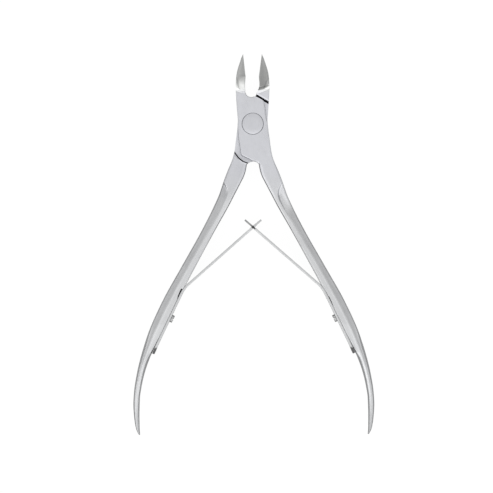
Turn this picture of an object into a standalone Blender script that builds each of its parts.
"""Cuticle nipper: two lapped levers, a flush pivot rivet, and a pair of
interlocking leaf springs held by slotted screws.

Frame: metres, the tool lying on its back.  +Z is up out of the front face,
+Y runs from the pivot to the jaws, +X to the right.  The origin is on the pivot
axis, at the joint's flat back face, which the tool rests on.

Shapes are drawn in millimetres in a plan of x (across) and z (along, jaws
positive), with y the depth behind the lap plane.  lay() puts a drawn point
into the frame above.

The front lever carries the left jaw and the right handle, the back lever the
right jaw and the left handle.  Both are drawn as the front lever; the back
lever is then turned half a turn about z.
"""
import math

import bmesh
import bpy
import numpy as np
from mathutils import Matrix, Vector

MM = 0.001

# ---------------------------------------------------------------- joint
JOINT_HALF = 3.0            # half thickness of the joint block
LAP_GAP = 0.03              # each lap face stands this far off the lap plane
TIP_Z = 20.95               # jaw tip
TAIL_Z = -93.05             # handle tip
CUT_REACH = 5.0             # round cutters run this far either side of the lap plane

# ---------------------------------------------------------------- outlines
# outside edge of jaw, joint and handle: (z, distance from the centre line)
OUTSIDE = [
    (TIP_Z, 2.85), (20.4, 3.10), (19.8, 3.36), (18.6, 3.76), (16.8, 4.34), (15.0, 4.75),
    (13.2, 4.94), (11.4, 5.02), (8.0, 4.92), (4.2, 4.68), (0.6, 4.42),
    (-1.2, 4.59), (-4.8, 5.05), (-8.4, 5.55), (-10.2, 5.97), (-12.0, 6.67),
    (-13.8, 7.50), (-17.4, 8.95), (-21.0, 10.22), (-24.6, 11.80),
    (-31.8, 15.42), (-42.6, 21.48), (-53.4, 27.47), (-64.2, 32.19),
    (-75.0, 35.25), (-80.4, 36.09), (-84.0, 36.29), (-87.6, 36.08),
    (-91.2, 35.46), (-92.2, 35.03), (TAIL_Z, 34.50),
]
# inside edge of the handle: (z, distance from the centre line)
INSIDE = [
    (-12.0, 1.74), (-13.8, 2.12), (-15.6, 2.70), (-17.4, 3.50), (-21.0, 5.33),
    (-24.6, 7.26), (-31.8, 11.39), (-42.6, 17.33), (-47.1, 19.73),
    (-53.4, 22.90), (-60.0, 26.20), (-66.0, 29.20), (-69.6, 30.96),
    (-75.0, 32.67), (-78.6, 33.50), (-82.2, 34.05), (-87.6, 34.20),
    (-91.2, 34.20), (TAIL_Z, 34.12),
]
# inside edge of each jaw: (z, distance from the centre line).  The first two
# points are the ends of the straight cutting edge, the rest the relief below it.
EDGE_END_Z = 14.3
NECK_TOP_Z = 9.6            # here the inside edge starts to swing in under the notch
JAW_FRONT = [(TIP_Z, 2.79), (EDGE_END_Z, 2.08),
             (13.3, 2.36), (11.4, 2.52), (10.4, 2.50), (NECK_TOP_Z, 2.30)]
JAW_BACK = [(TIP_Z, 2.80), (EDGE_END_Z, 1.93),
            (13.3, 2.24), (12.0, 2.28), (11.4, 2.14), (10.5, 1.74), (NECK_TOP_Z, 1.38)]
NECK_X, NECK_RUN = 0.9, 0.8                    # where the swing ends, and its length
NOTCH_X, NOTCH_Z, NOTCH_R = -0.42, 9.72, 1.77  # round notch between the jaws

# joint plate edges, (z, x): the shoulder beside the other jaw, and the corner
# beside the other handle
SHOULDER = [(8.14, -NECK_X), (8.12, 1.05), (7.55, 2.25), (6.95, 3.20), (6.60, 3.42), (0.9, 4.14)]
CORNER = [(0.6, -4.42), (-0.3, -4.52), (-4.8, -4.11), (-7.8, -3.66), (-9.35, -3.47),
          (-10.95, -0.30), (-11.16, 0.05), (-11.24, 0.60), (-11.50, 1.20)]

# lap recess: the upper wall is a line through (x, z) with a slope, the lower
# wall a line of (x, z) points
STEP_TOP_X, STEP_TOP_Z, STEP_TOP_SLOPE = -1.41, 8.66, 0.548
RECESS_HALF_W, RECESS_Y = 9.0, 4.0
STEP_LOW = [(RECESS_HALF_W, -4.1), (6.5, -7.3), (5.31, -8.82), (4.41, -9.96), (3.0, -11.13),
            (1.74, -11.70), (0.0, -12.4), (-RECESS_HALF_W, -16.0)]

# ---------------------------------------------------------------- handle relief
# crease where the flat face ends: (z, fraction of the width from the inside)
CREASE = [(-17.3, 1.0), (-18.2, 0.80), (-19.8, 0.535), (-21.3, 0.36), (-22.8, 0.29),
          (-27.3, 0.31), (-33.3, 0.38), (-40.8, 0.43), (-50.0, 0.46), (-62.0, 0.50),
          (TAIL_Z, 0.50)]
# half thickness at the crease: (z, half thickness)
RIDGE = [(-17.3, 3.0), (-25, 2.97), (-40, 2.82), (-60, 2.58), (-72, 2.18), (-82, 1.66),
         (-90, 1.04), (TAIL_Z, 0.62)]
CREASE_START_Z = -17.4      # sections below this put a vertex on the crease

# ---------------------------------------------------------------- lever sections
FRACTIONS = [0.0, 0.07, 0.22, 0.5, 0.78, 0.93, 1.0]     # vertices across the width
JAW_Z = [*np.linspace(TIP_Z, EDGE_END_Z, 9), 13.6, 13.0, 12.4, 11.8, 11.2, 10.7, 10.2,
         9.8, 9.6, 9.2, 8.8]
PLATE_Z = [8.14, 8.12, 7.55, 6.95, 6.60, 4.2, 2.4, 0.9, 0.6, -0.3, -1.2, -3.0, -4.8, -6.3,
           -7.8, -9.35, -10.2, -10.95, -11.16, -11.24, -11.50]
HANDLE_Z = [*np.arange(-12.0, -17.5, -1.35), *np.arange(-18.2, -25.5, -0.9),
            *np.arange(-27.0, -80.0, -2.6), *np.arange(-81.0, -91.0, -1.7),
            -91.2, -92.2, TAIL_Z]

# ---------------------------------------------------------------- pivot rivet
HEAD_D, HEAD_T = 6.3, 1.5
SHANK_D = 4.2
HEAD_FIT, SHANK_FIT = 0.06, 0.05      # radial clearances
HEAD_SEAT_GAP = 0.03                  # clearance under the head
RIVET_SINK, RIVET_CHAMFER = 0.01, 0.08

# ---------------------------------------------------------------- leaf springs
# drawn on the +X side, the front lever's handle; the other is the mirror image
FOOT_POINT = (22.47, -53.37)          # on the free face of the foot
FOOT_SLOPE = 0.4785                   # x gained per unit of z going down
FOOT_T = 0.70
FOOT_Z = (-68.0, -64.0, -60.0, -56.0, -53.2)      # sections of the straight foot
BEND_Z = -51.4                        # where the bend to the arm starts
BEND_EXTRA_T, BEND_SHIFT = 0.02, 0.03 # thickening and offset at that point
BEND_STEPS = 5
ARM_T, END_T = 0.70, 0.54
HINGE = (19.55, -48.04)               # where the arm leaves the foot
ARM_ANGLE = math.radians(41.29)
ARM_L = 26.02                         # hinge to crossing
END_L = 3.35                          # crossing to free end
BLADE_L = ARM_L + END_L
FOOT_W, MID_W, END_W = 4.4, 3.8, 3.2
HINGE_W = FOOT_W - 0.1
# width of the arm: (distance from the hinge, width)
ARM_WIDTH = [(0, HINGE_W), (4, FOOT_W - 0.3), (ARM_L - 1.6, MID_W), (BLADE_L, END_W)]
SPLIT = 0.22                          # gap between foot and arm
TONGUE_W, SHOULDER_L = 1.30, 0.82
SLOT_W, SLOT_L = 1.80, 1.90
SLOT_CUT_HALF = 1.5                   # half height of the slot cutter through the blade

# flat seat ground into the handle under the foot
SEAT_DEPTH = FOOT_T + 0.03            # from the free face, with a small gap
SEAT_TOP_Z, SEAT_END_Z = -46.9, -69.4
SEAT_CUT = 3.0                        # how far the cutter stands off the seat
SEAT_FLARE_X, SEAT_FLARE_Z = 0.6, 1.4 # the cutter's outer top corner leans away
SEAT_HALF_W = 4.0

# directions in the plan, as (x, z)
FOOT_LENGTH = math.hypot(FOOT_SLOPE, 1.0)
FOOT_IN = (1.0 / FOOT_LENGTH, FOOT_SLOPE / FOOT_LENGTH)     # square into the handle
FOOT_UP = (-FOOT_IN[1], FOOT_IN[0])                         # along the foot to the jaws
ARM_DIR = (-math.cos(ARM_ANGLE), math.sin(ARM_ANGLE))       # hinge to crossing

# ---------------------------------------------------------------- spring screws
SCREW_Z = -58.13
SCREW_HEAD_D, SCREW_HEAD_H = 2.26, 0.80
SCREW_HEAD_GAP = 0.03                 # between the head and the foot
SCREW_D, SCREW_HOLE = 1.20, 1.40
SCREW_END = FOOT_T + 2.0              # depth of the screw's end below the free face
SCREW_BOTTOM_GAP = 0.25               # hole left beyond the screw's end
SCREW_SLOT_HALF_W, SCREW_SLOT_DEPTH = 0.17, 0.32

STEEL = (0.60, 0.60, 0.61)


# ---------------------------------------------------------------- curves
def clamp(t):
    return min(max(t, 0.0), 1.0)


def smoothstep(t):
    t = clamp(t)
    return t * t * (3 - 2 * t)


def polyline(table):
    """Straight-line interpolation through a table of (position, value)."""
    positions, values = zip(*sorted(table))
    return lambda q: float(np.interp(q, positions, values))


def smooth_curve(table):
    """A smooth monotone curve x(z) through a table of (z, x)."""
    z, x = np.array(sorted(table)).T
    step = np.diff(z)
    slope = np.diff(x) / step
    tangent = np.zeros(len(z))
    tangent[0], tangent[-1] = slope[0], slope[-1]
    for i in range(1, len(z) - 1):
        if slope[i - 1] * slope[i] > 0.0:
            below = 2 * step[i] + step[i - 1]
            above = step[i] + 2 * step[i - 1]
            tangent[i] = (below + above) / (below / slope[i - 1] + above / slope[i])

    def at(q):
        q = min(max(q, z[0]), z[-1])
        i = min(max(int(np.searchsorted(z, q)) - 1, 0), len(z) - 2)
        t = (q - z[i]) / step[i]
        return float((1 + 2 * t) * (1 - t) ** 2 * x[i]
                     + t * (1 - t) ** 2 * step[i] * tangent[i]
                     + t * t * (3 - 2 * t) * x[i + 1]
                     - t * t * (1 - t) * step[i] * tangent[i + 1])
    return at


def meet(point_a, dir_a, point_b, dir_b):
    """Where two lines of the plan cross."""
    det = dir_b[0] * dir_a[1] - dir_a[0] * dir_b[1]
    gap_x, gap_z = point_b[0] - point_a[0], point_b[1] - point_a[1]
    reach = (dir_b[0] * gap_z - gap_x * dir_b[1]) / det
    return point_a[0] + reach * dir_a[0], point_a[1] + reach * dir_a[1]


# ---------------------------------------------------------------- solids
def lay(x, y, z):
    """A drawn point, in millimetres, as a point of the frame, in metres."""
    return x * MM, z * MM, (JOINT_HALF - y) * MM


def loft(name, rings, mat=None, turn=False):
    """A capped solid through rings of drawn points; turn = half a turn about z."""
    sign = -1.0 if turn else 1.0
    count = len(rings[0])
    verts = [lay(x * sign, y * sign, z) for ring in rings for x, y, z in ring]
    faces = []
    for start in range(0, len(verts) - count, count):
        for k in range(count):
            k2 = (k + 1) % count
            faces.append((start + k, start + k2, start + count + k2, start + count + k))
    faces.append(tuple(range(count)))
    faces.append(tuple(range(len(verts) - 1, len(verts) - count - 1, -1)))

    data = bpy.data.meshes.new(name)
    data.from_pydata(verts, [], faces)
    bm = bmesh.new()
    bm.from_mesh(data)
    bmesh.ops.recalc_face_normals(bm, faces=bm.faces)
    bm.to_mesh(data)
    bm.free()
    ob = bpy.data.objects.new(name, data)
    bpy.context.scene.collection.objects.link(ob)
    if mat:
        data.materials.append(mat)
    return ob


def prism(name, outline, y0, y1, turn=False):
    """A prism along y over an outline of (x, z) points."""
    return loft(name, [[(x, y, z) for x, z in outline] for y in (y0, y1)], turn=turn)


def revolved(name, profile, centre, axis, count, mat=None, turn=False):
    """A solid of revolution: profile of (distance along axis, radius)."""
    axis = Vector(axis).normalized()
    helper = Vector((0, 1, 0)) if abs(axis.y) < 0.9 else Vector((1, 0, 0))
    side_u = axis.cross(helper).normalized()
    side_v = axis.cross(side_u)
    centre = Vector(centre)
    rings = []
    for distance, radius in profile:
        ring = []
        for k in range(count):
            angle = 2 * math.pi * k / count
            ring.append(tuple(centre + axis * distance
                              + side_u * (radius * math.cos(angle))
                              + side_v * (radius * math.sin(angle))))
        rings.append(ring)
    ob = loft(name, rings, mat, turn)
    ob.data.shade_smooth()
    ob.data.set_sharp_from_angle(angle=math.radians(30))
    return ob


def cylinder(name, start, end, radius, count, centre=(0, 0, 0), axis=(0, 1, 0), turn=False):
    return revolved(name, [(start, radius), (end, radius)], centre, axis, count, turn=turn)


def strip(name, stations, mat, side):
    """A bent strip through stations of (x, z, thickness, width); side -1 mirrors it."""
    rings = []
    for i, (x, z, thickness, width) in enumerate(stations):
        before = stations[max(i - 1, 0)]
        after = stations[min(i + 1, len(stations) - 1)]
        run_x, run_z = after[0] - before[0], after[1] - before[1]
        run = math.hypot(run_x, run_z)
        off_x = -run_z / run * thickness / 2
        off_z = run_x / run * thickness / 2
        rings.append([(side * (x + s * off_x), w * width / 2, z + s * off_z)
                      for s, w in ((1, -1), (1, 1), (-1, 1), (-1, -1))])
    return loft(name, rings, mat)


def cut(ob, cutter):
    cutter.hide_render = True
    cutter.display_type = "WIRE"
    mod = ob.modifiers.new(cutter.name, "BOOLEAN")
    mod.operation = "DIFFERENCE"
    mod.solver = "EXACT"
    mod.object = cutter


def put_origin(ob, x, z):
    """Move an object's origin to the drawn point (x, 0, z), its mesh staying put."""
    origin = Vector(lay(x, 0.0, z))
    ob.data.transform(Matrix.Translation(-origin))
    ob.location = origin


# ---------------------------------------------------------------- levers
outside = smooth_curve(OUTSIDE)
inside = smooth_curve(INSIDE)
shoulder = polyline(SHOULDER)
corner = polyline(CORNER)
crease = polyline(CREASE)
ridge_depth = polyline(RIDGE)


def jaw_inside(table):
    """Inside edge of a jaw: straight cutting edge, then the relief curve."""
    (tip_z, tip_x), (heel_z, heel_x) = table[:2]
    slope = (tip_x - heel_x) / (tip_z - heel_z)
    relief = smooth_curve(table[1:])

    def at(z):
        return heel_x + (z - heel_z) * slope if z >= heel_z else relief(z)
    return at


def jaw_depth(u, z):
    """Half thickness of a jaw; u runs from the cutting edge (0) to the back (1)."""
    back = 0.30 + 1.85 * clamp((TIP_Z - z) / 10.3) ** 0.85
    edge = 0.10 + 0.60 * clamp((EDGE_END_Z - z) / 3.6)
    hollow = edge + (back - edge) * u ** 1.35
    # the jaw rises to the full joint thickness, sooner towards its back
    rise_z = 10.75 + 2.5 * max(0.0, (u - 0.45) / 0.55) ** 2 + 0.3 * (1 - u)
    rise = clamp((rise_z - z) / 1.5)
    return min(JOINT_HALF, hollow + (JOINT_HALF - hollow) * rise)


def handle_depth(u, z):
    """Half thickness of a handle; u runs from the inside (0) to the outside (1)."""
    width = outside(z) - inside(z)
    ridge = ridge_depth(z)
    crease_u = crease(z)
    inner = max(crease_u - u, 0.0) * width        # distance inside the crease
    outer = max(u - crease_u, 0.0) * width        # distance outside the crease
    outer_width = max((1 - crease_u) * width, 0.05)
    t = outer / outer_width
    # a flat land inside the crease, a scoop outside it that opens into a plain facet
    land_slope = 0.15 * smoothstep((-22 - z) / 14)
    scoop_share = 1 - smoothstep((-20.5 - z) / 8)
    scoop = 0.30 * clamp(outer / 0.5) + 1.1 * outer_width * max(t - 0.62, 0.0) ** 2
    facet = 0.37 * outer + 0.05 * outer_width * t ** 3
    edge_break = 0.20 * clamp(1 - min(u, 1 - u) * width / 0.24)
    roof = (ridge - land_slope * inner
            - (scoop_share * scoop + (1 - scoop_share) * facet) - edge_break)
    # towards the tail the section turns round
    round_share = smoothstep((-64 - z) / 16)
    rounded = ridge * max(1 - abs(2 * u - 1) ** 2.3, 0.0) ** 0.48
    return max((1 - round_share) * roof + round_share * rounded, 0.12)


def handle_fractions(z):
    """Where the vertices of a handle section sit across its width."""
    if z >= CREASE_START_Z:
        return FRACTIONS
    u = crease(z)
    return [0.0, 0.12 * u, u, *(u + f * (1 - u) for f in (0.2, 0.62, 0.88)), 1.0]


def section(z, left, right, depth, fractions=FRACTIONS):
    """A ring of points at z; depth(f) is the half thickness at fraction f from the left."""
    row = [(left + (right - left) * f, depth(f)) for f in fractions]
    return [(x, -half, z) for x, half in row] + [(x, half, z) for x, half in reversed(row)]


def lever_sections(jaw):
    rings = []
    jaw_in = jaw_inside(jaw)
    for z in JAW_Z:
        x_in = jaw_in(max(z, NECK_TOP_Z))
        x_in -= (x_in - NECK_X) * clamp((NECK_TOP_Z - z) / NECK_RUN)
        rings.append(section(z, -outside(z), -x_in, lambda f: jaw_depth(1.0 - f, z)))
    for z in PLATE_Z:
        left = -outside(z) if z >= CORNER[0][0] else corner(z)
        right = shoulder(z) if z >= SHOULDER[-1][0] else outside(z)
        rings.append(section(z, left, right, lambda f: JOINT_HALF))
    for z in HANDLE_Z:
        rings.append(section(z, inside(z), outside(z), lambda f: handle_depth(f, z),
                             handle_fractions(z)))
    return rings


def lap_cutter(name, turn):
    """The recess that takes the other lever's plate."""
    top = [(x, STEP_TOP_Z + STEP_TOP_SLOPE * (x - STEP_TOP_X))
           for x in (-RECESS_HALF_W, RECESS_HALF_W)]
    return prism(name, top + STEP_LOW, -LAP_GAP, RECESS_Y, turn)


def seat_cutter(name, turn):
    """The flat seat for the spring foot."""
    far_x, far_z = foot_point(SEAT_TOP_Z, SEAT_DEPTH - SEAT_CUT)
    outline = [foot_point(SEAT_TOP_Z, SEAT_DEPTH), foot_point(SEAT_END_Z, SEAT_DEPTH),
               foot_point(SEAT_END_Z, SEAT_DEPTH - SEAT_CUT),
               (far_x - SEAT_FLARE_X, far_z + SEAT_FLARE_Z)]
    return prism(name, outline, -SEAT_HALF_W, SEAT_HALF_W, turn)


def lever(name, jaw, mat, turn):
    ob = loft(name, lever_sections(jaw), mat, turn)
    cut(ob, lap_cutter(name + "_lap_cut", turn))
    # both levers share the notch, so its place must survive the half turn
    notch_x = -NOTCH_X if turn else NOTCH_X
    cut(ob, cylinder(name + "_notch_cut", -CUT_REACH, CUT_REACH, NOTCH_R, 36,
                     centre=(notch_x, 0, NOTCH_Z), turn=turn))
    cut(ob, cylinder(name + "_bore_cut", -CUT_REACH, CUT_REACH, SHANK_D / 2 + SHANK_FIT, 48,
                     turn=turn))
    if not turn:        # only the front lever seats the rivet head
        cut(ob, cylinder(name + "_head_cut", -CUT_REACH, -JOINT_HALF + HEAD_T + HEAD_SEAT_GAP,
                         HEAD_D / 2 + HEAD_FIT, 64))
    cut(ob, seat_cutter(name + "_seat_cut", turn))
    centre, axis = screw_line(1)
    cut(ob, cylinder(name + "_screw_cut", -0.5, SCREW_END + SCREW_BOTTOM_GAP, SCREW_HOLE / 2,
                     20, centre, axis, turn))


def pivot_rivet(mat):
    head_r, shank_r = HEAD_D / 2, SHANK_D / 2
    top = -JOINT_HALF + RIVET_SINK
    under_head = -JOINT_HALF + HEAD_T
    profile = [(top, head_r - RIVET_CHAMFER), (top + RIVET_CHAMFER, head_r),
               (under_head, head_r), (under_head, shank_r),
               (JOINT_HALF - RIVET_CHAMFER, shank_r), (JOINT_HALF, shank_r - RIVET_CHAMFER)]
    revolved("pivot_rivet", profile, (0, 0, 0), (0, 1, 0), 64, mat)


# ---------------------------------------------------------------- leaf springs
def foot_point(z, depth, up=0.0):
    """From the foot's free face at height z, go depth into the handle and up the foot."""
    x = FOOT_POINT[0] + (FOOT_POINT[1] - z) * FOOT_SLOPE
    return (x + FOOT_IN[0] * depth + FOOT_UP[0] * up,
            z + FOOT_IN[1] * depth + FOOT_UP[1] * up)


def arm_point(distance):
    """A point of the arm's centre line, a distance from the hinge."""
    return HINGE[0] + ARM_DIR[0] * distance, HINGE[1] + ARM_DIR[1] * distance


def screw_line(side):
    """Centre on the free face, and axis into the handle, of a spring screw."""
    x, z = foot_point(SCREW_Z, 0.0)
    return (side * x, 0, z), (side * FOOT_IN[0], 0, FOOT_IN[1])


def leaf_foot(name, mat, side):
    stations = [(*foot_point(z, FOOT_T / 2), FOOT_T, FOOT_W) for z in FOOT_Z]
    bend = foot_point(BEND_Z, FOOT_T / 2 - BEND_SHIFT)
    bend_t = FOOT_T + BEND_EXTRA_T
    stations.append((*bend, bend_t, FOOT_W))
    # a short quadratic curve from the foot's line to the arm's line
    end = arm_point(-SPLIT / 2)
    control = meet(bend, FOOT_UP, end, ARM_DIR)
    for k in range(1, BEND_STEPS + 1):
        t = k / BEND_STEPS
        x, z = ((1 - t) ** 2 * bend[i] + 2 * t * (1 - t) * control[i] + t * t * end[i]
                for i in (0, 1))
        stations.append((x, z, bend_t + (ARM_T - bend_t) * t,
                         FOOT_W + (HINGE_W - FOOT_W) * t))
    ob = strip(name, stations, mat, side)
    cut(ob, cylinder(name + "_hole_cut", -1.5, FOOT_T + 1.0, SCREW_HOLE / 2, 20,
                     *screw_line(side)))


def leaf_blade(name, stations, mat, side):
    """An arm through (distance from hinge, thickness, width); its origin is on the hinge."""
    ob = strip(name, [(*arm_point(s), thickness, width) for s, thickness, width in stations],
               mat, side)
    put_origin(ob, side * HINGE[0], HINGE[1])
    return ob


arm_width = polyline(ARM_WIDTH)
ARM_START = [(s, ARM_T, arm_width(s)) for s in (SPLIT / 2, 5.0, 10.0, 15.0, 20.0)]


def tongue_blade(name, mat, side):
    """The arm that steps in at a shoulder to a narrow tongue."""
    step = ARM_L - SHOULDER_L
    leaf_blade(name, ARM_START + [(step, ARM_T, MID_W), (step, END_T, TONGUE_W),
                                  (BLADE_L, END_T, TONGUE_W)], mat, side)


def slotted_blade(name, mat, side):
    """The arm with a slot at the crossing and a thinner end."""
    end = [(ARM_L - 1.6, ARM_T), (ARM_L + 1.4, ARM_T), (ARM_L + 2.0, END_T), (BLADE_L, END_T)]
    ob = leaf_blade(name, ARM_START + [(s, thickness, arm_width(s)) for s, thickness in end],
                    mat, side)
    outline = []
    for along, across in ((-1, -1), (1, -1), (1, 1), (-1, 1)):
        x, z = arm_point(ARM_L + along * SLOT_L / 2)
        outline.append((side * (x + ARM_DIR[1] * across * SLOT_CUT_HALF),
                        z - ARM_DIR[0] * across * SLOT_CUT_HALF))
    cut(ob, prism(name + "_slot_cut", outline, -SLOT_W / 2, SLOT_W / 2))


def spring_screw(name, mat, side):
    radius = SCREW_HEAD_D / 2
    top = -SCREW_HEAD_H - SCREW_HEAD_GAP
    profile = [(top, radius - 0.22), (top + 0.12, radius - 0.05), (top + 0.30, radius),
               (-SCREW_HEAD_GAP, radius), (-SCREW_HEAD_GAP, SCREW_D / 2),
               (SCREW_END, SCREW_D / 2)]
    ob = revolved(name, profile, *screw_line(side), 28, mat)
    # straight slot across the head, square to the foot's length
    above, floor = -SCREW_HEAD_H - 0.6, top + SCREW_SLOT_DEPTH
    outline = []
    for depth, up in ((above, -1), (above, 1), (floor, 1), (floor, -1)):
        x, z = foot_point(SCREW_Z, depth, up * SCREW_SLOT_HALF_W)
        outline.append((side * x, z))
    cut(ob, prism(name + "_slot_cut", outline, -2.0, 2.0))


# ---------------------------------------------------------------- materials
def steel(name, roughness, tone=1.0):
    """Bare steel; tone lightens or darkens the base colour."""
    mat = bpy.data.materials.new(name)
    mat.use_nodes = True
    bsdf = mat.node_tree.nodes["Principled BSDF"]
    bsdf.inputs["Base Color"].default_value = (*(c * tone for c in STEEL), 1.0)
    bsdf.inputs["Metallic"].default_value = 1.0
    bsdf.inputs["Roughness"].default_value = roughness
    return mat


# ---------------------------------------------------------------- build
for old in list(bpy.data.objects):
    bpy.data.objects.remove(old, do_unlink=True)

front_steel = steel("satin_steel", roughness=0.34)
back_steel = steel("satin_steel_back", roughness=0.34, tone=0.97)
rivet_steel = steel("rivet_steel", roughness=0.36, tone=0.98)
spring_steel = steel("spring_steel", roughness=0.30, tone=1.02)
screw_steel = steel("screw_steel", roughness=0.28, tone=0.95)

lever("front_lever", JAW_FRONT, front_steel, turn=False)
lever("back_lever", JAW_BACK, back_steel, turn=True)
pivot_rivet(rivet_steel)
for label, side in (("right", 1), ("left", -1)):
    leaf_foot(label + "_leaf_foot", spring_steel, side)
    spring_screw(label + "_spring_screw", screw_steel, side)
tongue_blade("right_leaf_blade", spring_steel, 1)
slotted_blade("left_leaf_blade", spring_steel, -1)
